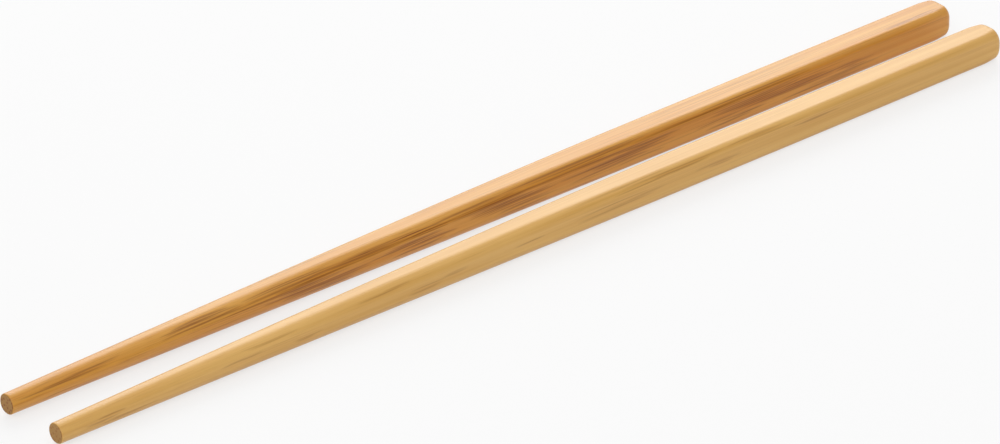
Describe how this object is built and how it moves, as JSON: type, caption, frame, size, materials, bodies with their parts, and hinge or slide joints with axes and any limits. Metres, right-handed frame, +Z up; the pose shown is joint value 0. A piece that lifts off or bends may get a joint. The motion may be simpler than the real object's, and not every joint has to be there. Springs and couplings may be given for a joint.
{
  "type": "pair of wooden chopsticks",
  "caption": "Bamboo chopsticks lying side by side in a dark and a light tone: square handles with rounded corners and domed ends, tapering in a full curve to blunt round tips.",
  "frame": {"origin": "on the surface the sticks lie on, under the middle of the pair's outer box", "axes": "+X runs from the tips to the handle ends, +Y from the light stick to the dark one, +Z is up"},
  "size_m": [0.2406, 0.0208, 0.0067],
  "materials": {
    "dark_bamboo": "steamed brown bamboo, sanded smooth and oiled, satin",
    "light_bamboo": "natural pale bamboo, sanded smooth and oiled, satin"
  },
  "bodies": {
    "root": {"dark_chopstick": "dark_bamboo", "light_chopstick": "light_bamboo"}
  },
  "joints": []
}
